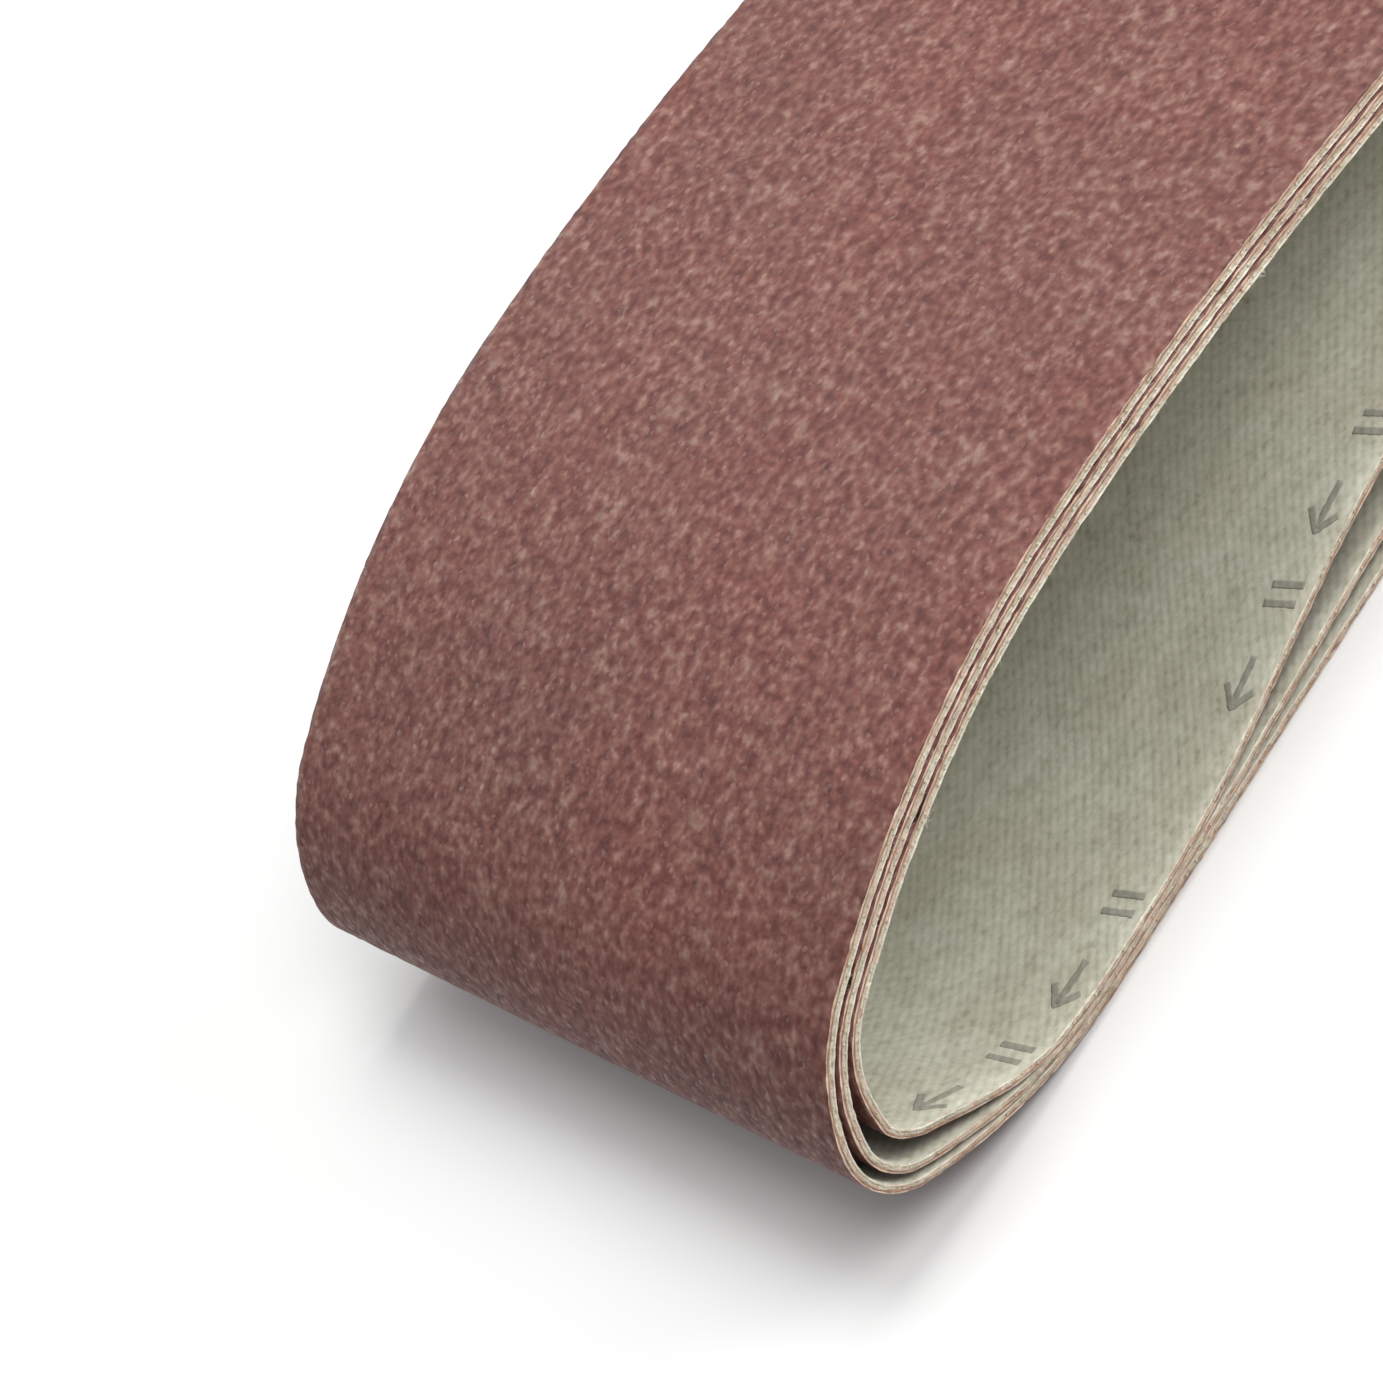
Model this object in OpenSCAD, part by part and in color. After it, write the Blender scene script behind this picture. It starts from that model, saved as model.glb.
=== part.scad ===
// Pack of three endless sanding belts, nested one inside another, lying on its long side.
// +X runs along the loops, +Y across the belts, +Z up. The origin is under the middle of the
// pack, on the surface that it lies on. Belt 0 is the outer one, 1 the middle, 2 the inner.

/* [Belts] */
// Width of every belt
belt_w = 75; // [50:1:100]
// Length of the outer belt once round, along the middle of its cloth
belt_len = 533; // [500:1:620]
// Thickness of the woven cotton backing
cloth_t = 0.56; // [0.4:0.02:0.6]
// Thickness of the resin make coat that bonds the grain to the cloth
make_t = 0.09; // [0.06:0.01:0.12]
// Thickness of the abrasive grain with its size coat
grain_t = 0.2; // [0.12:0.01:0.25]
// Clearance between one belt's cloth and the next belt's grain
clearance = 0.08; // [0.05:0.01:0.1]
// How far each belt's near edge stands out past the belt around it
stagger = 0.3; // [0:0.1:1]

/* [Shape of the loop] */
// Radius and turn of the low arc that lifts off the surface
rise_r = 45; // [40:1:50]
rise_turn = 30; // [28:1:32]
// Radius and turn of the tight tip of the bend
tip_r = 7; // [6.5:0.1:9]
tip_turn = 81; // [78:1:84]
// Radius and turn of the shoulder above the tip
shoulder_r = 19; // [17:1:22]
shoulder_turn = 44; // [42:1:46]
// Radius of the long arc that leads to the crown
crown_r = 92; // [85:1:100]
// Angle that the upper run falls from the crown towards the middle of the loop
dip_turn = 8; // [5:0.5:9]

/* [Slack] */
// Lift of the middle belt off the lower run, along its middle
lift_middle = 1.8; // [0.5:0.1:2]
// Lift of the inner belt off the lower run, along its middle
lift_inner = 5.5; // [3:0.1:6]
// Half of the length that is fully lifted
lift_flat = 50; // [40:1:52]
// Length that the lift takes to grow
lift_ramp = 45; // [40:1:48]
// Droop of the middle belt under the splice of the upper run
droop_middle = 0.35; // [0.3:0.05:0.6]
// Droop of the inner belt under the splice of the upper run
droop_inner = 0.8; // [0.7:0.05:1.5]
// Length that the droop dies out over
droop_ramp = 50; // [40:1:60]
// Gap of the middle belt at the tip of the left bend
left_middle = 0.8; // [0:0.1:0.9]
// Gap of the inner belt at the tip of the left bend
left_inner = 2.9; // [1:0.1:2.9]
// Distance from the start of the tip to the widest gap
left_shift = 3; // [0:1:5]
// Length that the left gap dies out over
left_ramp = 20; // [18:1:22]
// Gap of the middle belt at the right bend
right_middle = 0.3; // [0:0.05:0.5]
// Gap of the inner belt at the right bend
right_inner = 0.6; // [0.5:0.05:1]
// Length that the right gap dies out over
right_ramp = 26; // [20:1:30]

/* [Splices] */
// Angle between the joint and the belt's edge
splice_angle = 60; // [50:1:75]
// Width of the glue line where the cut ends meet
glue_w = 0.2; // [0.1:0.05:0.4]
// Width of the film tape behind the joint
tape_w = 20; // [14:1:22]
// Thickness of the film tape
tape_t = 0.07; // [0.05:0.01:0.08]

/* [Hidden] */

// Depths below a belt's grain face
make_depth = grain_t;
cloth_depth = make_depth + make_t;
belt_t = cloth_depth + cloth_t;
tape_depth = belt_t + tape_t;
pitch = belt_t + clearance;

// The outline that the outer belt's grain face follows. A place on it is
// [x, z, turn so far, distance so far], and it starts along -X from the middle of the lower run.
crown_turn = 180 - rise_turn - tip_turn - shoulder_turn;
BEND = [[rise_r, rise_turn], [tip_r, tip_turn], [shoulder_r, shoulder_turn], [crown_r, crown_turn]];
function arc_place(p, r, a) = [
    p[0] - r * (sin(p[2] + a) - sin(p[2])),
    p[1] + r * (cos(p[2]) - cos(p[2] + a)),
    p[2] + a,
    p[3] + r * a * PI / 180
];
function walk(p, arcs, i = 0) = i == len(arcs) ? p : walk(arc_place(p, arcs[i][0], arcs[i][1]), arcs, i + 1);

// The arcs of the dip take up what is left of the belt's length
half_len = belt_len / 2 + PI * (belt_t - cloth_t / 2);
bend_end = walk([0, 0, 0, 0], BEND);
dip_r = (half_len - bend_end[0] - bend_end[3]) / (2 * (sin(dip_turn) + dip_turn * PI / 180));
run_half = bend_end[0] + 2 * dip_r * sin(dip_turn);
run_end = [-run_half, 0, 0, run_half];
ARCS = concat(BEND, [[dip_r, dip_turn], [-dip_r, -dip_turn]]);

// Distance along the outline to the tip of the bend, and to a place over the splice
tip_at = run_half + rise_r * rise_turn * PI / 180;
droop_at = -(half_len - 50);

// Slack between the belts: centre, half of the length at full gap, length that the gap takes to
// grow, gap of the middle belt, gap of the inner belt. Distances are positive round the left half
// of the loop and negative round the right half.
SLACK = [
    [0, lift_flat, lift_ramp, lift_middle, lift_inner],
    [tip_at + left_shift, 0, left_ramp, left_middle, left_inner],
    [-tip_at, 0, right_ramp, right_middle, right_inner],
    [droop_at, 0, droop_ramp, droop_middle, droop_inner]
];
function swell(u) = u < 1 ? (1 + cos(180 * u)) / 2 : 0;
function share(s, at) = swell(max(abs(at - s[0]) - s[1], 0) / s[2]);
function gap(belt, at) = belt == 0 ? 0 : sum([for (s = SLACK) s[2 + belt] * share(s, at)]);
function sum(v, i = 0) = i == len(v) ? 0 : v[i] + sum(v, i + 1);

// Places along one half of the outline, close enough together for a smooth loop
step_len = 2.5;
step_turn = 4;
function steps(r, a) = ceil(max(abs(a) / step_turn, abs(r * a) * PI / 180 / step_len));
function along(i) = walk(run_end, [for (j = [0 : 1 : i - 1]) ARCS[j]]);
function run_steps(belt) = belt == 0 ? 1 : ceil(run_half / step_len);
function half_places(belt) = concat(
    [for (n = run_steps(belt), k = [0 : n - 1]) [-run_half * k / n, 0, 0, run_half * k / n]],
    [for (i = [0 : len(ARCS) - 1])
        let (n = steps(ARCS[i][0], ARCS[i][1]), last = i == len(ARCS) - 1 ? n : n - 1)
        for (k = [0 : last]) arc_place(along(i), ARCS[i][0], ARCS[i][1] * k / n)]
);

// The closed loop at a depth below a belt's grain face. The right half mirrors the left.
function inset(p, d) = [p[0] + d * sin(p[2]), p[1] + d * cos(p[2])];
function loop(belt, depth) = let (
    places = half_places(belt),
    left = [for (p = places) inset(p, belt * pitch + gap(belt, p[3]) + depth)],
    right = [for (p = places) inset(p, belt * pitch + gap(belt, -p[3]) + depth)]
) concat(left, [for (i = [len(right) - 2 : -1 : 1]) [-right[i][0], right[i][1]]]);

// Where each belt is spliced: x of the joint's middle, and 1 on the upper run or 0 on the lower
SPLICES = [[52, 1], [10, 0], [45, 0]];
mid_z = 16;
reach_z = 30;

// One layer of a belt, between two depths below its grain face
module layer(belt, from, to) {
    translate([0, belt_w / 2 + (1 - belt) * stagger, 0])
        rotate([90, 0, 0])
            linear_extrude(belt_w)
                difference() {
                    polygon(loop(belt, from));
                    polygon(loop(belt, to));
                }
}

// A slanting strip through one run of a belt, as wide as the joint or its tape
module splice_strip(belt, wide) {
    half_x = wide / 2 / sin(splice_angle);
    half_y = belt_w / 2 + 2;
    lean = half_y / tan(splice_angle);
    translate([SPLICES[belt][0], 0, mid_z - (1 - SPLICES[belt][1]) * reach_z])
        linear_extrude(reach_z)
            polygon([[-half_x - lean, -half_y], [half_x - lean, -half_y],
                [half_x + lean, half_y], [-half_x + lean, half_y]]);
}

// A layer cut through where the belt's ends meet
module cut_layer(belt, from, to) {
    difference() {
        layer(belt, from, to);
        splice_strip(belt, glue_w);
    }
}

module backing(belt) {
    color("#b3ae97") cut_layer(belt, cloth_depth, belt_t);
}

module make_coat(belt) {
    color("#8c4a34") cut_layer(belt, make_depth, cloth_depth);
}

module grain_coat(belt) {
    color("#8a5a54") cut_layer(belt, 0, make_depth);
}

module splice_tape(belt) {
    color("#d9c9a0")
        intersection() {
            layer(belt, belt_t, tape_depth);
            splice_strip(belt, tape_w);
        }
}

module splice_glue(belt) {
    color("#6e4326")
        intersection() {
            layer(belt, make_depth, belt_t);
            splice_strip(belt, glue_w);
        }
}

backing(0);  // outer_backing
make_coat(0);  // outer_make_coat
grain_coat(0);  // outer_grain_coat
splice_tape(0);  // outer_splice_tape
splice_glue(0);  // outer_splice_glue
backing(1);  // middle_backing
make_coat(1);  // middle_make_coat
grain_coat(1);  // middle_grain_coat
splice_tape(1);  // middle_splice_tape
splice_glue(1);  // middle_splice_glue
backing(2);  // inner_backing
make_coat(2);  // inner_make_coat
grain_coat(2);  // inner_grain_coat
splice_tape(2);  // inner_splice_tape
splice_glue(2);  // inner_splice_glue
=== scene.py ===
"""A pack of three nested sanding belts: meshes, materials, floor, light and camera."""
import math

import bpy
import numpy as np
from mathutils import Matrix, Vector


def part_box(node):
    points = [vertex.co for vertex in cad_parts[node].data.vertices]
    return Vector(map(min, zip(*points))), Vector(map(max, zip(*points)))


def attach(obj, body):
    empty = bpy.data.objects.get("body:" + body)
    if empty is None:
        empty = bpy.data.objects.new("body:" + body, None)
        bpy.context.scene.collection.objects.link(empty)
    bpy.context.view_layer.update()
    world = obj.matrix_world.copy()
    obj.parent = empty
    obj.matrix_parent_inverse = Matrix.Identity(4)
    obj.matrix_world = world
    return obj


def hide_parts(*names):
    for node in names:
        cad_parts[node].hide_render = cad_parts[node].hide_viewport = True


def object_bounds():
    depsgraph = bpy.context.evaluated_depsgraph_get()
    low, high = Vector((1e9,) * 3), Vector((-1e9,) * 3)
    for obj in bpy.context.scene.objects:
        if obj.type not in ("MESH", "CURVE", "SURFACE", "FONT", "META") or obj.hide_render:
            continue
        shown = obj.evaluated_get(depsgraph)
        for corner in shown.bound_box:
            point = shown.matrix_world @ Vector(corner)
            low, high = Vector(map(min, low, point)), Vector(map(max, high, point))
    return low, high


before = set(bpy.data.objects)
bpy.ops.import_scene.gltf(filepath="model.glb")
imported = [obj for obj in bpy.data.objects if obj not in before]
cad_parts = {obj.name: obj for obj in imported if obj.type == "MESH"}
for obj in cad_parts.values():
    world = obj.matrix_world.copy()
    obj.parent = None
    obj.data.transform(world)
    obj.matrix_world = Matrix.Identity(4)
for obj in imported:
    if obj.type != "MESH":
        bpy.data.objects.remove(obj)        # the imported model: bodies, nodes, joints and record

CAD_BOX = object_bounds()
MM = 0.001
RANDOM = np.random.default_rng(2041)

BELTS = ["outer", "middle", "inner"]
# Width of the joint's glue line, along the belt
JOINT_GAP = 0.23 * MM

# ---------------------------------------------------------------- the loops that the belts follow


def cad_outline(node, outward):
    """The corners of a layer's outward or inward face at the near edge, as (x, z), in order from
    one end of the belt to the other: along -X on the lower run and back along the top."""
    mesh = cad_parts[node].data
    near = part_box(node)[0].y + 0.01 * MM
    links = {}
    for face in mesh.polygons:
        if abs(face.normal.y) > 0.1:
            continue
        for pair in face.edge_keys:
            a, b = (mesh.vertices[corner].co for corner in pair)
            if a.y < near and b.y < near:
                a, b = ((round(co.x, 6), round(co.z, 6)) for co in (a, b))
                links.setdefault(a, set()).add(b)
                links.setdefault(b, set()).add(a)
    lines = []
    for place in [p for p in sorted(links) if len(links[p]) == 1]:
        if any(place in line for line in lines):
            continue
        line = [place]
        while True:
            onward = [p for p in links[line[-1]] if p not in line[-2:]]
            if not onward:
                break
            line.append(onward[0])
        lines.append(line)
    # The outward face is the longer way round
    lines = [np.array(line) for line in lines]
    lines.sort(key=lambda line: np.linalg.norm(np.diff(line, axis=0), axis=1).sum())
    line = lines[-1] if outward else lines[0]
    x, z = line.T
    anticlockwise = (x * np.roll(z, -1) - z * np.roll(x, -1)).sum() > 0
    return line[::-1] if anticlockwise else line


def filled(points, step):
    """A closed line of points with none further apart than step."""
    out = []
    for a, b in zip(points, np.roll(points, -1, axis=0)):
        count = max(1, math.ceil(np.linalg.norm(b - a) / step))
        out += [a + (b - a) * i / count for i in range(count)]
    return np.array(out)


class Loop:
    """A belt's grain face in the XZ plane, as a smooth closed curve of the distance along it."""

    # Spacing of the table of places, and the longest chord between the curve's corners
    FINE = 0.1 * MM
    CHORD = 2.6 * MM

    def __init__(self, belt):
        self.belt = belt
        low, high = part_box(f"{belt}_backing")
        self.near, self.far = low.y, high.y
        self.width = self.far - self.near
        self._fit(filled(cad_outline(f"{belt}_grain_coat", True), self.CHORD))
        # Depths below the grain face of the make coat, the cloth and the cloth's inward face
        self.make_depth = self._depth(f"{belt}_make_coat", True)
        self.cloth_depth = self._depth(f"{belt}_backing", True)
        self.belt_depth = self._depth(f"{belt}_backing", False)
        self._find_splice()

    def _fit(self, corners):
        """A Hermite curve through the corners, kept as a table of places against distance."""
        after = np.roll(corners, -1, axis=0) - corners
        span = np.linalg.norm(after, axis=1)
        slope = after / span[:, None]
        before, before_span = np.roll(slope, 1, axis=0), np.roll(span, 1)
        tangent = before * span[:, None] + slope * before_span[:, None]
        tangent /= (span + before_span)[:, None]
        places = []
        for i, length in enumerate(span):
            t = np.arange(0, length, self.FINE)[:, None] / length
            start, end = corners[i], corners[(i + 1) % len(corners)]
            out, back = tangent[i] * length, tangent[(i + 1) % len(corners)] * length
            places.append(
                (2 * t**3 - 3 * t**2 + 1) * start + (t**3 - 2 * t**2 + t) * out
                + (3 * t**2 - 2 * t**3) * end + (t**3 - t**2) * back
            )
        self.line = np.concatenate(places)
        steps = np.linalg.norm(np.roll(self.line, -1, axis=0) - self.line, axis=1)
        self.length = steps.sum()
        self.distance = np.concatenate([[0], np.cumsum(steps)[:-1]])
        # Directions are taken over a few places either way, which smooths the corners
        reach = 6
        along = np.roll(self.line, -reach, axis=0) - np.roll(self.line, reach, axis=0)
        self.along = along / np.linalg.norm(along, axis=1)[:, None]

    def _depth(self, node, outward):
        """How far a layer's face lies below the grain face."""
        corners = cad_outline(node, outward)
        apart = np.linalg.norm(corners[:, None] - self.line[None, ::4], axis=2).min(axis=1)
        return float(np.median(apart))

    def _find_splice(self):
        """The distance at which the belt is spliced, and how far the joint leans along the loop."""
        low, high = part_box(f"{self.belt}_splice_glue")
        middle = (low + high) / 2
        nearest = np.argmin(np.hypot(self.line[:, 0] - middle.x, self.line[:, 1] - middle.z))
        self.splice = self.distance[nearest]
        lean = (high.x - low.x - JOINT_GAP) / (high.y - low.y)
        self.lean = lean * np.sign(self.along[nearest, 0])

    def point(self, s, y, depth):
        """The points at a distance past the splice, a place across and a depth below the grain."""
        s, y, depth = np.broadcast_arrays(s, y, depth)
        at = np.mod(s + self.splice, self.length)

        def at_distance(table):
            return [np.interp(at, self.distance, table[:, k], period=self.length) for k in (0, 1)]

        place, tangent = at_distance(self.line), at_distance(self.along)
        size = np.hypot(*tangent)
        x = place[0] + depth * tangent[1] / size
        z = place[1] - depth * tangent[0] / size
        return np.stack([x, y, z], axis=-1)


# ---------------------------------------------------------------- meshes


def finish_mesh(name, points, faces, material, uv=None):
    """A smooth-shaded object from points and faces; uv gives each point's place on the cloth."""
    mesh = bpy.data.meshes.new(name)
    mesh.from_pydata(points.reshape(-1, 3).tolist(), [], faces)
    if uv is not None:
        corner = np.empty(len(mesh.loops), dtype=np.int32)
        mesh.loops.foreach_get("vertex_index", corner)
        layer = mesh.uv_layers.new(name=CLOTH_MAP)
        layer.uv.foreach_set("vector", uv.reshape(-1, 2)[corner].astype(np.float32).ravel())
    mesh.polygons.foreach_set("use_smooth", [True] * len(mesh.polygons))
    mesh.materials.append(material)
    mesh.update()
    piece = bpy.data.objects.new(name, mesh)
    bpy.context.scene.collection.objects.link(piece)
    return piece


def sweep(name, lots, material, uv=None):
    """Closed meshes, each from a row of rings: an array of (rings, points in a ring, 3)."""
    faces, base = [], 0
    for points in lots:
        rings, count = points.shape[:2]
        index = np.arange(rings * count).reshape(rings, count)
        a, b = index[:-1], index[1:]
        a_next, b_next = np.roll(a, -1, axis=1), np.roll(b, -1, axis=1)
        quads = np.stack([a, a_next, b_next, b], axis=-1).reshape(-1, 4)
        flat = points.reshape(-1, 3)
        corners = flat[quads]
        outward = np.cross(corners[:, 2] - corners[:, 0], corners[:, 3] - corners[:, 1])
        middle = flat.mean(axis=0)
        right_way = (outward * (corners.mean(axis=1) - middle)).sum() > 0
        walls = (quads + base) if right_way else (quads + base)[:, ::-1]
        caps = [(index[0, ::-1] + base).tolist(), (index[-1] + base).tolist()]
        faces += walls.tolist() + [cap if right_way else cap[::-1] for cap in caps]
        base += rings * count
    joined = np.concatenate([points.reshape(-1, 3) for points in lots])
    return finish_mesh(name, joined, faces, material, uv)


def rim_material(piece, section, rings, material):
    """Gives the faces along both slit edges of a swept layer their own material."""
    piece.data.materials.append(material)
    on_edge = section.edge != 0
    rim = (on_edge & np.roll(on_edge, -1)).astype(np.int32)
    choice = np.concatenate([np.tile(rim, rings - 1), [1, 1]]).astype(np.int32)
    piece.data.polygons.foreach_set("material_index", choice)


class Section:
    """Places round the cross-section of a belt layer: across the belt and through its thickness."""

    def __init__(self, loop, out_rows, in_rows, edge_rows):
        half = loop.width / 2
        middle = (loop.near + loop.far) / 2
        through = np.linspace(0, 1, edge_rows + 2)[1:-1]
        across = np.concatenate([
            np.linspace(-1, 1, out_rows), np.ones(edge_rows),
            np.linspace(1, -1, in_rows), -np.ones(edge_rows),
        ])
        self.y = middle + half * across
        self.through = np.concatenate([
            np.zeros(out_rows), through, np.ones(in_rows), through[::-1],
        ])
        # 1 at the far edge, -1 at the near edge and 0 between them
        self.edge = np.where(np.abs(across) > 0.9999, np.sign(across), 0)
        self.out_side = self.through == 0
        self.in_side = self.through == 1


def layer_grid(loop, section, spacing, slope=None, settle=60 * MM):
    """Distances past the splice for each ring and place of a layer. The rings lean with the joint
    at both ends, and with slope in between."""
    inset = JOINT_GAP / 2
    count = round((loop.length - JOINT_GAP) / spacing)
    s = np.linspace(inset, loop.length - inset, count)
    lean = np.full(count, loop.lean)
    if slope is not None:
        from_end = np.clip(np.minimum(s, loop.length - s) / settle, 0, 1)
        lean += (slope - loop.lean) * from_end**2 * (3 - 2 * from_end)
    return s[:, None] + lean[:, None] * section.y[None, :]


def swells(s, y, size):
    """A smooth uneven height between about -1 and 1, made of a few waves of about one size."""
    waves = 7
    height = np.zeros(np.broadcast(s, y).shape)
    for _ in range(waves):
        angle, phase = RANDOM.uniform(0, 2 * math.pi, 2)
        stretch = RANDOM.uniform(0.6, 1.6)
        way = s * math.cos(angle) + y * math.sin(angle)
        height += np.sin(way * 2 * math.pi / (size * stretch) + phase)
    return height / math.sqrt(waves)


# ---------------------------------------------------------------- materials

CLOTH_MAP = "along_across"
# The twill's ribs: distance between them along the belt, slant across it, and depth
RIB_PITCH = 1.44 * MM
RIB_SLOPE = 1.32
RIB_DEPTH = 0.013 * MM
# Length of one yarn float, measured across the belt, and the shift from rib to rib, in floats
FLOAT_LENGTH = 1.5 * MM
FLOAT_SHIFT = 0.38


def tone(r, g, b):
    """A linear colour from the usual 0 to 255 screen values."""
    def linear(value):
        share = value / 255
        return share / 12.92 if share <= 0.04045 else ((share + 0.055) / 1.055) ** 2.4

    return linear(r), linear(g), linear(b), 1


WHITE = tone(255, 255, 255)


class Finish:
    """A material, with its nodes written as nested calls."""

    def __init__(self, name, roughness, **constants):
        self.material = bpy.data.materials.new(name)
        self.material.use_nodes = True
        self.tree = self.material.node_tree
        self.shader = self.tree.nodes["Principled BSDF"]
        self.shader.inputs["Roughness"].default_value = roughness
        for socket, value in constants.items():
            self.shader.inputs[socket.replace("_", " ")].default_value = value

    def put(self, socket, value):
        if isinstance(value, bpy.types.NodeSocket):
            self.tree.links.new(value, socket)
        else:
            socket.default_value = value

    def node(self, kind, inputs=(), **settings):
        node = self.tree.nodes.new(kind)
        for name, value in settings.items():
            setattr(node, name, value)
        for key, value in dict(inputs).items():
            self.put(node.inputs[key], value)
        return node

    def place(self):
        return self.node("ShaderNodeTexCoord").outputs["Object"]

    def on_belt(self):
        """Distance along the belt and place across it, from the cloth's own map."""
        cloth_map = self.node("ShaderNodeUVMap", uv_map=CLOTH_MAP)
        split = self.node("ShaderNodeSeparateXYZ", {0: cloth_map.outputs[0]})
        return split.outputs[0], split.outputs[1]

    def maths(self, operation, a, b=0.0, c=0.0):
        node = self.node("ShaderNodeMath", {0: a, 1: b, 2: c}, operation=operation)
        return node.outputs[0]

    def noise(self, place, size, detail=2.0, rough=0.5):
        inputs = {"Vector": place, "Scale": 1 / size, "Detail": detail, "Roughness": rough}
        return self.node("ShaderNodeTexNoise", inputs).outputs["Fac"]

    def cells(self, place, size):
        inputs = {"Vector": place, "Scale": 1 / size, "Randomness": 1.0}
        return self.node("ShaderNodeTexVoronoi", inputs, feature="F1")

    def ramp(self, value, stops):
        """A colour or a grey that runs through (place, colour) stops."""
        node = self.node("ShaderNodeValToRGB", {"Fac": value})
        elements = node.color_ramp.elements
        while len(elements) < len(stops):
            elements.new(0.5)
        for element, (at, colour) in zip(elements, stops):
            element.position = at
            element.color = colour if isinstance(colour, tuple) else (colour, colour, colour, 1)
        return node.outputs["Color"]

    def mix(self, factor, a, b, blend="MIX"):
        node = self.node("ShaderNodeMix", data_type="RGBA", blend_type=blend)
        self.put(node.inputs["Factor"], factor)
        for socket, value in zip([i for i in node.inputs if i.type == "RGBA"], (a, b)):
            self.put(socket, value)
        return [o for o in node.outputs if o.type == "RGBA"][0]

    def bump(self, height, distance, strength=1.0, normal=None):
        inputs = {"Height": height, "Distance": distance, "Strength": strength}
        if normal is not None:
            inputs["Normal"] = normal
        return self.node("ShaderNodeBump", inputs).outputs["Normal"]

    def wear(self, **outputs):
        """Links what goes into the shader, such as Base_Color."""
        for socket, value in outputs.items():
            self.put(self.shader.inputs[socket.replace("_", " ")], value)
        return self.material


def abrasive_finish():
    """Brown-red aluminium oxide grain under a thin coat of resin."""
    f = Finish("abrasive", 0.62, Specular_IOR_Level=0.42)
    place = f.place()
    clumps = f.noise(place, 0.98 * MM, 1.0, 0.4)
    mottle = f.noise(place, 2.0 * MM, 2.0, 0.5)
    patch = f.noise(place, 7 * MM, 3.0, 0.6)
    wide = f.noise(place, 28 * MM, 2.0, 0.5)
    grit = f.cells(place, 0.7 * MM)
    fine = f.cells(place, 0.42 * MM)
    level = f.maths("MULTIPLY_ADD", clumps, 1.15, f.maths("MULTIPLY_ADD", mottle, 0.5, -0.435))
    level = f.maths("MULTIPLY_ADD", patch, 0.2, level)
    colour = f.ramp(level, [
        (0.2, tone(87, 44, 40)), (0.42, tone(106, 60, 54)),
        (0.6, tone(119, 77, 69)), (0.85, tone(140, 107, 98)),
    ])
    # Painted shade: the colour darkens away from each grain's middle, in the hollows between grains
    # where the relief is lowest.
    painted_gap_shade = f.ramp(grit.outputs["Distance"], [(0.25, 1.06), (0.75, 0.88)])
    colour = f.mix(1.0, colour, painted_gap_shade, "MULTIPLY")
    shift = f.maths("MULTIPLY_ADD", patch, 0.35, wide)
    tint = f.ramp(shift, [(0.45, tone(255, 250, 246)), (0.85, tone(242, 246, 242))])
    colour = f.mix(1.0, colour, tint, "MULTIPLY")
    pick = f.node("ShaderNodeSeparateColor", {0: fine.outputs["Color"]}).outputs[0]
    glint = f.ramp(pick, [(0.92, 0.0), (0.98, 1.0)])
    colour = f.mix(f.maths("MULTIPLY", glint, 0.12), colour, tone(190, 162, 152))
    roughness = f.ramp(pick, [(0.0, 0.72), (0.8, 0.6), (0.97, 0.45)])
    grains = f.maths("MULTIPLY_ADD", fine.outputs["Distance"], -0.25, clumps)
    height = f.maths("MULTIPLY_ADD", grit.outputs["Distance"], -0.6, grains)
    return f.wear(Base_Color=colour, Roughness=roughness, Normal=f.bump(height, 0.09 * MM))


def cloth_finish(name, shades, stain):
    """Cotton twill: ribs of short floats, uneven yarn and faint stains, in three shades."""
    f = Finish(name, 0.9, Specular_IOR_Level=0.15, Sheen_Weight=0.12, Sheen_Roughness=0.6)
    along, across = f.on_belt()
    place = f.place()
    rib = f.maths("DIVIDE", f.maths("MULTIPLY_ADD", across, RIB_SLOPE, along), RIB_PITCH)
    wander = f.maths("MULTIPLY_ADD", f.noise(place, 2.2 * MM, 2.0), 0.16, -0.08)
    rib = f.maths("ADD", rib, wander)
    wave = f.maths("COSINE", f.maths("MULTIPLY", rib, 2 * math.pi))
    ridge = f.maths("MULTIPLY_ADD", wave, 0.5, 0.5)
    number = f.maths("FLOOR", f.maths("ADD", rib, 0.5))
    run = f.maths("MULTIPLY_ADD", number, FLOAT_SHIFT, f.maths("DIVIDE", across, FLOAT_LENGTH))
    grain = f.maths("ABSOLUTE", f.maths("MULTIPLY_ADD", f.maths("FRACT", run), 2.0, -1.0))
    rice = f.maths("SUBTRACT", 1.0, f.maths("POWER", grain, 3.0))
    floats = f.maths("MULTIPLY_ADD", rice, 0.32, 0.68)
    height = f.maths("MULTIPLY", f.maths("POWER", ridge, 0.7), floats)
    fibre = f.noise(place, 0.28 * MM, 3.0, 0.65)
    lumps = f.noise(place, 0.8 * MM, 2.0)
    mottle = f.noise(place, 2.4 * MM, 2.0)
    uneven = f.maths("MULTIPLY_ADD", lumps, 0.62, f.maths("MULTIPLY_ADD", mottle, 0.38, -0.09))
    # The rib height also goes into the colour, lighter on the crests and darker in the grooves: the
    # twill's pattern, partly painted shade in the grooves.
    level = f.maths("MULTIPLY_ADD", height, 0.13, f.maths("MULTIPLY_ADD", fibre, 0.15, uneven))
    colour = f.ramp(level, [(0.2, shades[0]), (0.5, shades[1]), (0.85, shades[2])])
    blotch = f.ramp(f.noise(place, 9 * MM, 4.0, 0.62), [(0.36, stain), (0.6, WHITE)])
    colour = f.mix(0.22, colour, blotch, "MULTIPLY")
    dirt = f.ramp(f.noise(place, 1.7 * MM, 3.0, 0.7), [(0.3, tone(205, 190, 165)), (0.42, WHITE)])
    colour = f.mix(0.3, colour, dirt, "MULTIPLY")
    relief = f.maths("MULTIPLY_ADD", fibre, 0.3, height)
    return f.wear(Base_Color=colour, Normal=f.bump(relief, 0.014 * MM))


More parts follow.
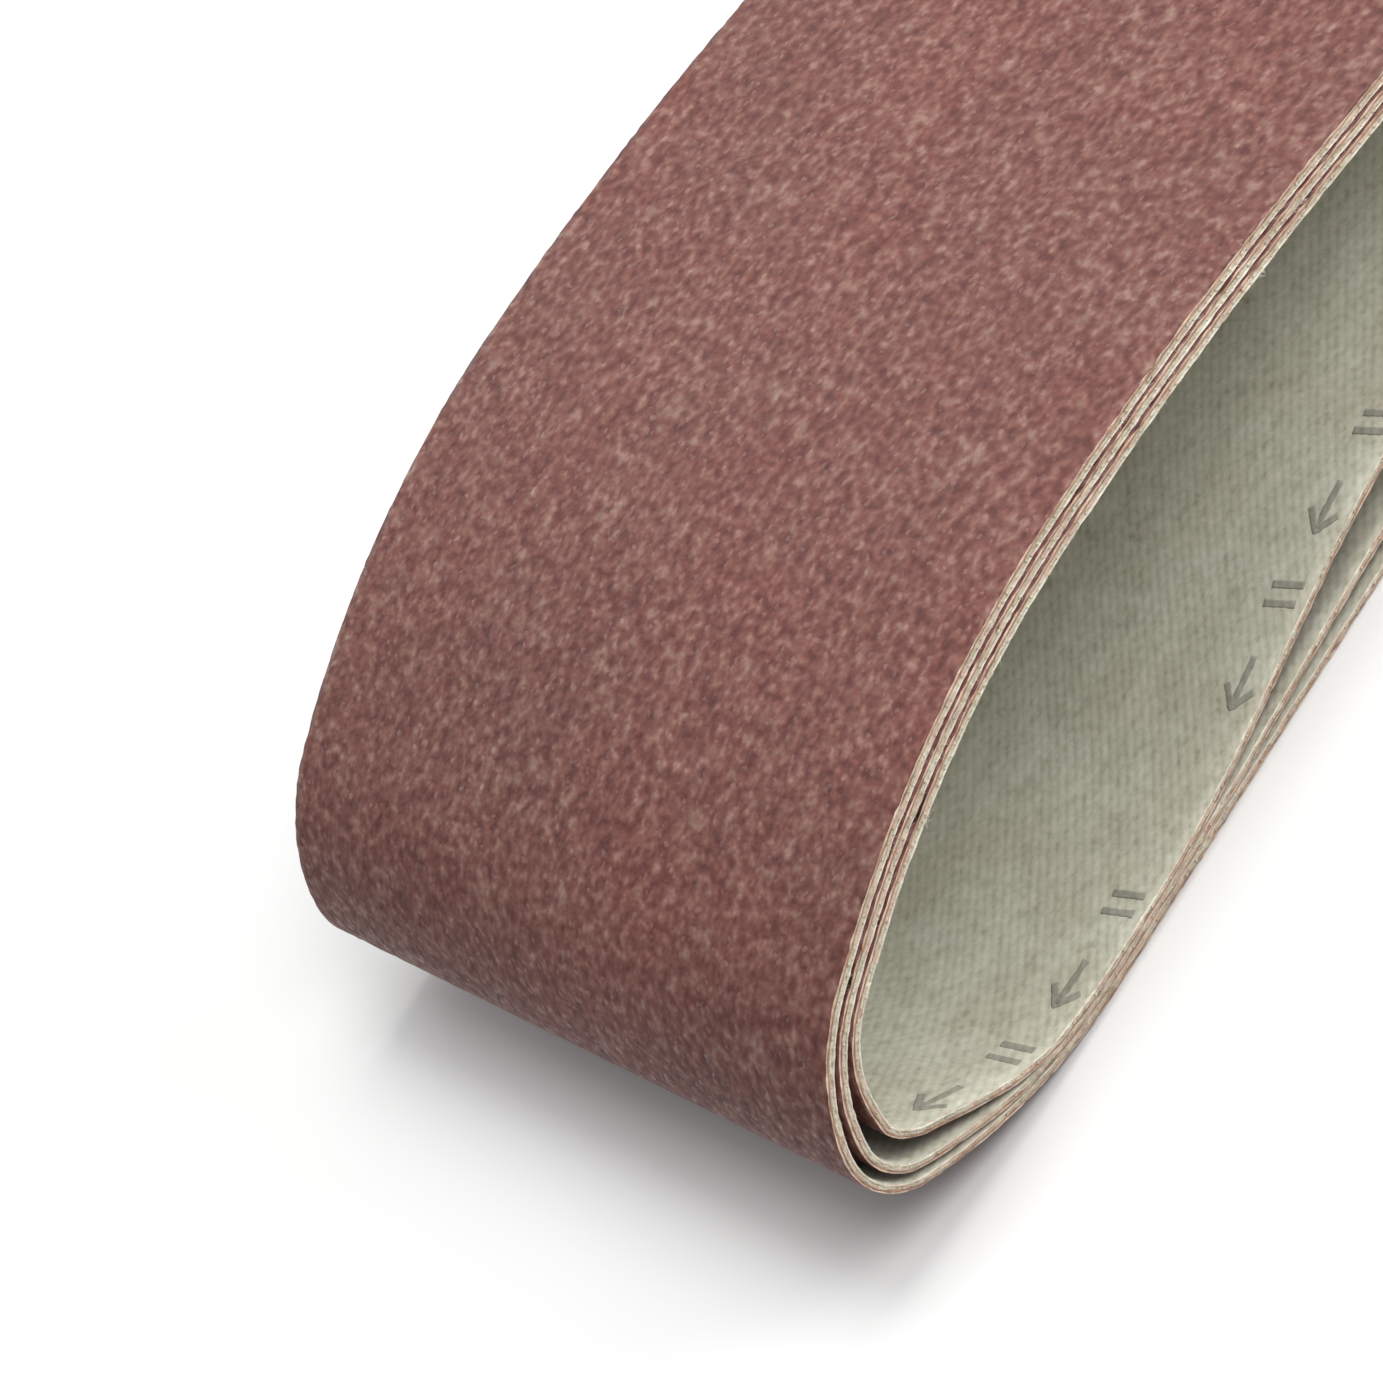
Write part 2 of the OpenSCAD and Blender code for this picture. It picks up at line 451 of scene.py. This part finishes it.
def yarn_finish(name, dark, light, dust):
    """Cut and frayed cotton, with dust from the grain rubbed into it here and there."""
    f = Finish(name, 0.85, Specular_IOR_Level=0.15, Sheen_Weight=0.2, Sheen_Roughness=0.5)
    place = f.place()
    wide = f.maths("MULTIPLY", f.noise(place, 3 * MM, 3.0, 0.6), 0.4)
    level = f.maths("MULTIPLY_ADD", f.noise(place, 0.5 * MM, 3.0, 0.6), 0.7, wide)
    colour = f.ramp(level, [(0.38, dark), (0.68, light)])
    rubbed = f.ramp(f.noise(place, 1.9 * MM, 3.0, 0.6), [(0.45, 0.0), (0.62, 0.75)])
    colour = f.mix(rubbed, colour, dust)
    return f.wear(Base_Color=colour, Normal=f.bump(f.noise(place, 0.12 * MM, 2.0), 0.03 * MM))


def resin_finish(name, dark, light, roughness):
    """Brown phenolic resin with fine bubbles."""
    f = Finish(name, roughness, Specular_IOR_Level=0.5)
    place = f.place()
    colour = f.ramp(f.noise(place, 0.8 * MM, 3.0, 0.6), [(0.35, dark), (0.7, light)])
    pits = f.cells(place, 0.3 * MM).outputs["Distance"]
    rough = f.ramp(f.noise(place, 2 * MM, 2.0), [(0.3, roughness - 0.1), (0.7, roughness + 0.15)])
    return f.wear(Base_Color=colour, Roughness=rough, Normal=f.bump(pits, 0.04 * MM))


def tape_finish():
    """Pale film, printed through by the cloth below it, with fine scratches."""
    f = Finish("tape_film", 0.35, Specular_IOR_Level=0.5, Coat_Weight=0.25, Coat_Roughness=0.2)
    place = f.place()
    long = f.node("ShaderNodeMapping", {"Vector": place, "Scale": (1, 12, 1)}).outputs[0]
    threads = f.noise(long, 1.2 * MM, 2.0)
    patches = f.maths("MULTIPLY", f.noise(place, 7 * MM, 3.0), 0.5)
    level = f.maths("MULTIPLY_ADD", threads, 0.5, patches)
    colour = f.ramp(level, [(0.35, tone(196, 176, 134)), (0.65, tone(222, 208, 172))])
    rough = f.ramp(f.noise(place, 4 * MM, 3.0), [(0.3, 0.25), (0.7, 0.5)])
    return f.wear(Base_Color=colour, Roughness=rough, Normal=f.bump(threads, 0.02 * MM))


def floor_finish():
    """Matt white studio board."""
    f = Finish("studio_board", 0.8, Specular_IOR_Level=0.1)
    place = f.place()
    drift = f.noise(place, 60 * MM, 2.0)
    colour = f.ramp(drift, [(0.3, tone(223, 223, 222)), (0.7, tone(227, 227, 227))])
    return f.wear(Base_Color=colour)


ABRASIVE = abrasive_finish()
BARE_SHADES = [tone(137, 136, 119), tone(173, 172, 156), tone(198, 197, 183)]
INKED_SHADES = [tone(106, 106, 96), tone(130, 129, 117), tone(154, 152, 139)]
CLOTH = cloth_finish("cloth", BARE_SHADES, tone(206, 190, 160))
PRINTED = cloth_finish("printed_cloth", INKED_SHADES, tone(220, 214, 200))
CUT_YARN = yarn_finish("cut_yarn", tone(152, 142, 122), tone(196, 188, 168), tone(176, 150, 134))
FRAY = yarn_finish("fray", tone(178, 170, 152), tone(212, 208, 194), tone(196, 180, 164))
CUT_GRAIN = yarn_finish("cut_grain", tone(150, 116, 98), tone(200, 178, 158), tone(202, 184, 166))
MAKE_RESIN = resin_finish("make_resin", tone(138, 98, 74), tone(178, 138, 110), 0.5)
SPLICE_GLUE = resin_finish("splice_glue", tone(92, 52, 28), tone(134, 82, 48), 0.3)
TAPE_FILM = tape_finish()

# ---------------------------------------------------------------- the belts' layers

# Rows across a face that other layers cover: enough for its slanting rings to follow the bends
HIDDEN_ROWS = 16


def settle(piece, belt, slot, *nodes):
    """Puts a piece on its belt's body and hides the CAD nodes that it stands for."""
    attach(piece, f"{belt}_belt")
    if nodes:
        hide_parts(*nodes)
    return piece


def grain_piece(loop, spacing):
    """The abrasive coat: a strip round the loop with every grain's height in its outward face."""
    rows = round(loop.width / spacing)
    section = Section(loop, rows, HIDDEN_ROWS, 2)
    s = layer_grid(loop, section, spacing)
    y = np.broadcast_to(section.y, s.shape)
    outward = section.out_side & (section.edge == 0)
    loose = RANDOM.uniform(-0.32, 0.32, (2,) + s.shape) * spacing
    inner_rings = np.ones(len(s))
    inner_rings[[0, -1]] = 0
    free = outward[None, :] * inner_rings[:, None]
    shape_s = s + loose[0] * free
    shape_y = y + loose[1] * free
    thickness = loop.make_depth
    grit = RANDOM.random(s.shape) ** 1.6
    relief = thickness * (0.04 + 0.34 * grit) + thickness * 0.08 * (1 + swells(s, y, 9 * MM)) / 2
    depth = np.where(section.out_side, relief, thickness * section.through)
    # The slit edge: grains broken off unevenly
    broken = RANDOM.uniform(-0.1, 0.04, s.shape) * MM
    shape_y = shape_y + np.where(section.edge != 0, section.edge * broken, 0)
    piece = sweep(f"{loop.belt}_grain", [loop.point(shape_s, shape_y, depth)], ABRASIVE)
    rim_material(piece, section, len(s), CUT_GRAIN)
    return settle(piece, loop.belt, "abrasive", f"{loop.belt}_grain_coat")


def make_piece(loop):
    """The resin under the grain, seen as a thin line along the edges."""
    section = Section(loop, HIDDEN_ROWS, HIDDEN_ROWS, 2)
    s = layer_grid(loop, section, 0.8 * MM)
    y = section.y + section.edge * RANDOM.uniform(-0.05, 0.07, s.shape) * MM
    thickness = loop.cloth_depth - loop.make_depth
    depth = loop.make_depth + thickness * section.through
    piece = sweep(f"{loop.belt}_make", [loop.point(s, y, depth)], MAKE_RESIN)
    return settle(piece, loop.belt, "make_resin", f"{loop.belt}_make_coat")


def rib_fall(s, y):
    """How far the cloth's inward face falls short of its full thickness, from the twill's ribs."""
    phase = 2 * math.pi * (s + RIB_SLOPE * y) / RIB_PITCH
    return RIB_DEPTH * (1 - (0.5 + 0.5 * np.cos(phase)) ** 0.7)


def backing_piece(loop):
    """The twill backing: ribs on its inward face and torn yarn along its slit edges."""
    section = Section(loop, 22, 61, 3)
    # Where the joint leans against the ribs, the rings take longer to swing round to them
    settle_over = 160 * MM if loop.lean > 0 else 80 * MM
    s = layer_grid(loop, section, RIB_PITCH / 3, -RIB_SLOPE, settle_over)
    y = np.broadcast_to(section.y, s.shape)
    thickness = loop.belt_depth - loop.cloth_depth
    fall = rib_fall(s, y) * section.in_side
    on_edge = section.edge != 0
    torn = RANDOM.normal(0, 0.05, s.shape) * MM + 0.03 * MM * swells(s, y, 3 * MM)
    shape_y = y + np.where(on_edge, section.edge * np.clip(torn, -0.14 * MM, 0.16 * MM), 0)
    depth = loop.cloth_depth + thickness * section.through - fall
    middle_rows = (section.through > 0) & (section.through < 1)
    depth = depth + np.where(middle_rows, RANDOM.normal(0, 0.03, s.shape) * MM, 0)
    uv = np.stack([s, y], axis=-1)
    piece = sweep(f"{loop.belt}_cloth", [loop.point(s, shape_y, depth)], CLOTH, uv=uv)
    rim_material(piece, section, len(s), CUT_YARN)
    return settle(piece, loop.belt, "cloth", f"{loop.belt}_backing")


def edge_start(loop, y):
    """The distance past the splice at which a line along the belt at y begins."""
    return loop.lean * y + JOINT_GAP / 2


def edge_yarn(loop, side, name, inset, depth, radius):
    """One warp yarn running along an edge, twisted and a little uneven."""
    y = (loop.near if side < 0 else loop.far) - side * inset
    count = round(loop.length / (0.45 * MM))
    s = edge_start(loop, y) + np.linspace(0, loop.length - JOINT_GAP, count)[:, None]
    sides = 6
    around = np.arange(sides) * 2 * math.pi / sides + s / (1.1 * MM) * 0.8
    thick = 1 + 0.2 * swells(s, 0 * s, 2.4 * MM)
    size = radius * (thick + RANDOM.normal(0, 0.16, (count, 1)).clip(-0.3, 0.3))
    drift = 0.035 * MM * swells(s, 0 * s, 6 * MM)
    ring_y = y + side * drift + size * np.cos(around)
    ring_depth = depth + 0.8 * size * np.sin(around)
    piece = sweep(f"{loop.belt}_{name}", [loop.point(s + 0 * around, ring_y, ring_depth)], FRAY)
    return settle(piece, loop.belt, "cloth")


def blob_shape():
    """A small ball of 12 points and 20 faces."""
    gold = (1 + math.sqrt(5)) / 2
    points = []
    for a in (-1, 1):
        for b in (-gold, gold):
            points += [(0, a, b), (a, b, 0), (b, 0, a)]
    points = np.array(points) / math.hypot(1, gold)
    near = np.linalg.norm(points[:, None] - points[None], axis=2) < 1.2
    faces = []
    for i in range(12):
        for j in range(i + 1, 12):
            for k in range(j + 1, 12):
                if near[i, j] and near[j, k] and near[i, k]:
                    turn = np.dot(np.cross(points[j] - points[i], points[k] - points[i]), points[i])
                    faces.append((i, j, k) if turn > 0 else (i, k, j))
    return points, np.array(faces)


def yarn_ends(loop):
    """Cut ends of the weft, in two staggered rows along both edges."""
    ball, ball_faces = blob_shape()
    lots = []
    for side, edge in ((-1, loop.near), (1, loop.far)):
        step = RIB_PITCH / 2
        s = edge_start(loop, edge) + np.arange(0.4 * MM, loop.length - 0.6 * MM, step)
        s = s + RANDOM.uniform(-0.3, 0.3, len(s)) * step
        thickness = loop.belt_depth - loop.cloth_depth
        row = np.where(np.arange(len(s)) % 2 == 0, 0.3, 0.66)
        depth = loop.cloth_depth + thickness * (row + RANDOM.uniform(-0.06, 0.06, len(s)))
        reach = RANDOM.uniform(0.05, 0.16, len(s)) * MM
        wide = RANDOM.uniform(0.15, 0.26, len(s)) * MM
        tall = RANDOM.uniform(0.1, 0.15, len(s)) * MM
        around = ball * (1 + RANDOM.uniform(-0.15, 0.15, (len(s), 12, 1)))
        point_s = s[:, None] + wide[:, None] * around[:, :, 0]
        point_y = edge + reach[:, None] * around[:, :, 1]
        point_depth = depth[:, None] + tall[:, None] * around[:, :, 2]
        lots.append(loop.point(point_s, point_y, point_depth))
    points = np.concatenate(lots)
    faces = (ball_faces[None] + 12 * np.arange(len(points))[:, None, None]).reshape(-1, 3)
    # Seen along the loop, the belt's own axes turn left-handed, so the faces turn with them
    piece = finish_mesh(f"{loop.belt}_weft_ends", points, faces[:, ::-1].tolist(), CUT_YARN)
    return settle(piece, loop.belt, "cloth")


def hair_mesh(name, loop, starts, ends, sag, radius, material):
    """Thin tapering fibres from start to end, given as (distance, y, depth), each with a bend."""
    rings, sides = 4, 3
    t = np.linspace(0, 1, rings)[None, :, None]
    middle = (starts + ends) / 2 + sag
    path = (1 - t) ** 2 * starts[:, None] + 2 * t * (1 - t) * middle[:, None] + t**2 * ends[:, None]
    centre = loop.point(path[..., 0], path[..., 1], path[..., 2])
    along = centre[:, -1] - centre[:, 0]
    along /= np.linalg.norm(along, axis=1)[:, None]
    helper = np.tile([0.3, 0.5, 0.81], (len(along), 1))
    right = np.cross(along, helper)
    right /= np.linalg.norm(right, axis=1)[:, None]
    up = np.cross(along, right)
    taper = np.linspace(1, 0.45, rings)[None, :, None, None]
    angle = np.arange(sides) * 2 * math.pi / sides
    offset = right[:, None, None] * np.cos(angle)[None, None, :, None]
    offset = offset + up[:, None, None] * np.sin(angle)[None, None, :, None]
    points = centre[:, :, None] + offset * taper * radius[:, None, None, None]
    faces = []
    for r in range(rings - 1):
        for k in range(sides):
            a, b = r * sides + k, r * sides + (k + 1) % sides
            faces.append([a, b, b + sides, a + sides])
    last = rings * sides - 1
    caps = [[2, 1, 0], [last - 2, last - 1, last]]
    base = (rings * sides * np.arange(len(points)))[:, None, None]
    body = (np.array(faces)[None] + base).reshape(-1, 4).tolist()
    tips = (np.array(caps)[None] + base).reshape(-1, 3).tolist()
    return finish_mesh(name, points, body + tips, material)


def fuzz(loop, free_inside):
    """Loose fibres along both edges, and a few tufts where the slitting knife dragged a yarn."""
    starts, ends, sags, radii = [], [], [], []
    thickness = loop.belt_depth - loop.cloth_depth
    for side, edge in ((-1, loop.near), (1, loop.far)):
        count = round(loop.length / (0.75 * MM))
        s = edge_start(loop, edge) + RANDOM.uniform(1 * MM, loop.length - 2 * MM, count)
        depth = loop.cloth_depth + thickness * RANDOM.uniform(0.15, 0.9, count)
        start = np.stack([s, np.full(count, edge - side * 0.1 * MM), depth], axis=1)
        out = RANDOM.uniform(0.12, 0.4, count) * MM
        drift = RANDOM.normal(0, 0.35, count) * MM
        sink = RANDOM.normal(0, 0.1, count) * MM
        end_depth = np.clip(depth + sink, 0.02 * MM, loop.belt_depth - 0.02 * MM)
        starts.append(start)
        ends.append(np.stack([s + drift, edge + side * out, end_depth], axis=1))
        sags.append(RANDOM.normal(0, 0.08, (count, 3)) * MM * np.array([1.5, 0.6, 0.4]))
        radii.append(RANDOM.uniform(0.012, 0.026, count) * MM)
        tufts = 16 if free_inside else 6
        for place in RANDOM.uniform(4 * MM, loop.length - 4 * MM, tufts):
            hairs = RANDOM.integers(14, 34)
            at = edge_start(loop, edge) + place + RANDOM.normal(0, 0.3, hairs) * MM
            depth = loop.belt_depth - RANDOM.uniform(0.05, 0.25, hairs) * MM
            start = np.stack([at, np.full(hairs, edge - side * 0.15 * MM), depth], axis=1)
            inward = RANDOM.uniform(-0.1, 0.5, hairs) * MM if free_inside else np.zeros(hairs)
            deepest = 10 * MM if free_inside else loop.belt_depth - 0.02 * MM
            inside = np.minimum(depth + inward, deepest)
            spread = RANDOM.normal(0, 0.45, hairs) * MM
            reach = RANDOM.uniform(0.05, 0.45, hairs) * MM
            starts.append(start)
            ends.append(np.stack([at + spread, edge + side * reach, inside], axis=1))
            sag = np.array([1.5, 0.8, 0.5 if free_inside else 0.1])
            sags.append(RANDOM.normal(0, 0.12, (hairs, 3)) * MM * sag)
            radii.append(RANDOM.uniform(0.014, 0.03, hairs) * MM)
    hairs = map(np.concatenate, (starts, ends, sags, radii))
    piece = hair_mesh(f"{loop.belt}_fray", loop, *hairs, FRAY)
    return settle(piece, loop.belt, "cloth")


def tape_piece(loop):
    """The film behind the joint, pressed into the cloth's ribs."""
    low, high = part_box(f"{loop.belt}_splice_tape")
    length = (high.x - low.x) - abs(loop.lean) * loop.width
    thickness = 0.07 * MM
    rows, rings = 76, 64
    section = Section(loop, rows, rows, 0)
    s = np.linspace(-length / 2, length / 2, rings)[:, None] + loop.lean * section.y[None, :]
    y = section.y
    at_end = np.arange(rings)[:, None] % (rings - 1) == 0
    s = s + np.where(at_end, RANDOM.normal(0, 0.03, s.shape) * MM, 0)
    pressed = 0.45 * rib_fall(s, y)
    depth = loop.belt_depth - pressed + np.where(section.through > 0.5, thickness, -0.01 * MM)
    piece = sweep(f"{loop.belt}_tape", [loop.point(s, y + 0 * s, depth)], TAPE_FILM)
    return settle(piece, loop.belt, "tape_film", f"{loop.belt}_splice_tape")


def glue_piece(loop):
    """The glue line through the belt where its ends meet, with a small bead on the grain side."""
    count = round(loop.width / (0.4 * MM))
    y = np.linspace(loop.near + 0.02 * MM, loop.far - 0.02 * MM, count)[:, None]
    half = JOINT_GAP / 2
    # The glue's outline: across in half widths, and down from its top as a share of its depth
    shape = np.array([
        (-1, 1), (-1, 0.3), (-1, 0.02), (-0.55, -0.06), (0, -0.09),
        (0.55, -0.06), (1, 0.02), (1, 0.3), (1, 1), (0, 1),
    ])
    top = loop.make_depth * 0.55
    across = shape[None, :, 0] * half * (1.0 + 0.05 * swells(y, 0 * y, 4 * MM))
    sunk = top * (1 + 0.5 * swells(y, 0 * y, 5 * MM))
    depth = sunk + (loop.belt_depth - 0.02 * MM - sunk) * np.clip(shape[None, :, 1], 0, 1)
    depth = depth + loop.make_depth * np.clip(shape[None, :, 1], -1, 0)
    s = loop.lean * y + across
    piece = sweep(f"{loop.belt}_glue", [loop.point(s, y + 0 * s, depth)], SPLICE_GLUE)
    return settle(piece, loop.belt, "splice_glue", f"{loop.belt}_splice_glue")


# ---------------------------------------------------------------- printed marks

# How far a stroke stands off the cloth's ribs, and how far it sinks into them
INK = 0.02 * MM
# Marks come in groups of four: the step inside a group, and from one group to the next
MARK_STEP = 7.9 * MM
GROUP_STEP = 44.2 * MM
# Strokes of each mark as (along, across) points, in mm from its middle: an arrow and two bars
ARROW = [[(-2.3, 0), (2.1, 0)], [(0.5, -1.6), (2.3, 0), (0.5, 1.6)]]
BARS = [[(-1.1, -1.7), (-0.4, 1.7)], [(0.6, -1.7), (1.3, 1.7)]]


def stroke(loop, at, y, corners, width):
    """One printed stroke, lying on the cloth's ribs."""
    corners = np.array(corners) * MM
    spans = np.linalg.norm(np.diff(corners, axis=0), axis=1)
    distance = np.concatenate([[0], np.cumsum(spans)])
    t = np.linspace(0, distance[-1], max(4, round(distance[-1] / (0.25 * MM))))
    path = np.stack([np.interp(t, distance, corners[:, k]) for k in (0, 1)], axis=1)
    along = np.gradient(path, axis=0)
    along /= np.linalg.norm(along, axis=1)[:, None]
    across = np.linspace(-0.5, 0.5, 5)
    out = np.concatenate([across, across[::-1]])
    level = np.concatenate([np.ones(5), -np.ones(5)])
    ragged = 1 + RANDOM.normal(0, 0.08, (len(t), 1))
    s = at + path[:, :1] - along[:, 1:] * out[None, :] * width * ragged
    place = y + path[:, 1:] + along[:, :1] * out[None, :] * width * ragged
    depth = loop.belt_depth - rib_fall(s, place) + level * INK
    return loop.point(s, place, depth), np.stack([s, place], axis=-1)


def printed_marks(loop):
    """A row of generic marks along the near edge of the cloth's inward face."""
    y = loop.near + 2.6 * MM
    width = 0.7 * MM
    begin = loop.lean * y + 32.4 * MM
    # The row stops short of the joint
    run = loop.length - 48 * MM - 3 * MARK_STEP
    lots, maps = [], []
    groups = np.arange(begin, begin + run, GROUP_STEP)
    for i, at in enumerate((groups[:, None] + MARK_STEP * np.arange(4)).ravel()):
        for corners in (ARROW if i % 2 else BARS):
            points, uv = stroke(loop, at, y, corners, width)
            lots.append(points)
            maps.append(uv.reshape(-1, 2))
    piece = sweep(f"{loop.belt}_print", lots, PRINTED, uv=np.concatenate(maps))
    return settle(piece, loop.belt, "cloth")


# ---------------------------------------------------------------- the pack

loops = {belt: Loop(belt) for belt in BELTS}
for belt, loop in loops.items():
    grain_spacing = (0.7 if belt == "outer" else 0.85) * MM
    going = [grain_piece(loop, grain_spacing), make_piece(loop)]
    cloth = backing_piece(loop)
    yarn_radius = 0.11 * MM
    for side, end in ((-1, "near"), (1, "far")):
        name = f"{end}_edge_yarn"
        depth = loop.belt_depth - yarn_radius
        going.append(edge_yarn(loop, side, name, 0.02 * MM, depth, yarn_radius))
    going += [yarn_ends(loop), fuzz(loop, belt == "inner"), tape_piece(loop), glue_piece(loop)]
    if belt == "inner":
        going.append(printed_marks(loop))

# ---------------------------------------------------------------- floor, light and camera


def floor():
    """A wide board under the pack, a hair below it."""
    mesh = bpy.data.meshes.new("floor")
    size, z = 3.0, -0.05 * MM
    corners = [(-size, -size, z), (size, -size, z), (size, size, z), (-size, size, z)]
    mesh.from_pydata(corners, [], [(0, 1, 2, 3)])
    mesh.materials.append(floor_finish())
    piece = bpy.data.objects.new("floor", mesh)
    bpy.context.scene.collection.objects.link(piece)


def area_light(name, place, watts):
    """A round white light, aimed at the left part of the pack."""
    target = (-0.06, 0, 0.01)
    data = bpy.data.lights.new(name, "AREA")
    data.shape = "DISK"
    data.size = 0.5
    data.energy = watts
    light = bpy.data.objects.new(name, data)
    light.location = place
    light.rotation_euler = (Vector(target) - Vector(place)).to_track_quat("-Z", "Y").to_euler()
    bpy.context.scene.collection.objects.link(light)


def camera():
    """At the left end of the pack, above and in front, rolled so that the belts run upwards."""
    azimuth, elevation, roll = math.radians(-12.3), math.radians(38.5), math.radians(-48.7)
    distance = 505.3 * MM
    low, high = CAD_BOX
    target = Vector((low[0] + 30.55 * MM, 8.05 * MM, (low[2] + high[2]) / 2))
    back = Vector((
        math.sin(azimuth) * math.cos(elevation),
        -math.cos(azimuth) * math.cos(elevation),
        math.sin(elevation),
    ))
    data = bpy.data.cameras.new("camera")
    data.sensor_width = 36
    data.lens = 156.2
    view = bpy.data.objects.new("camera", data)
    facing = back.to_track_quat("Z", "Y").to_matrix() @ Matrix.Rotation(roll, 3, "Z")
    view.matrix_world = Matrix.Translation(target + back * distance) @ facing.to_4x4()
    bpy.context.scene.collection.objects.link(view)
    bpy.context.scene.camera = view


def studio():
    """The sky and the lights."""
    scene = bpy.context.scene
    world = bpy.data.worlds.new("studio")
    world.use_nodes = True
    tree = world.node_tree
    # Brighter from above and from the right, dimmer from the left
    direction = tree.nodes.new("ShaderNodeTexCoord").outputs["Generated"]
    toward = tree.nodes.new("ShaderNodeVectorMath")
    toward.operation = "DOT_PRODUCT"
    toward.inputs[1].default_value = (0.84, 0.1, 0.5)
    tree.links.new(direction, toward.inputs[0])
    sky = tree.nodes.new("ShaderNodeMapRange")
    tree.links.new(toward.outputs["Value"], sky.inputs["Value"])
    for name, value in (("From Min", -0.5), ("From Max", 0.9), ("To Min", 0.12), ("To Max", 1.05)):
        sky.inputs[name].default_value = value
    tree.nodes["Background"].inputs["Color"].default_value = (1, 1, 1, 1)
    tree.links.new(sky.outputs["Result"], tree.nodes["Background"].inputs["Strength"])
    scene.world = world
    scene.view_settings.view_transform = "Standard"
    area_light("above", (0.35, -0.05, 0.85), 5.0)
    area_light("right_front", (0.6, -0.6, 0.4), 4.0)
    area_light("back_low", (-0.08, 0.75, 0.12), 1.5)
    area_light("front_high", (0.05, -0.65, 0.8), 3.9)


floor()
studio()
camera()
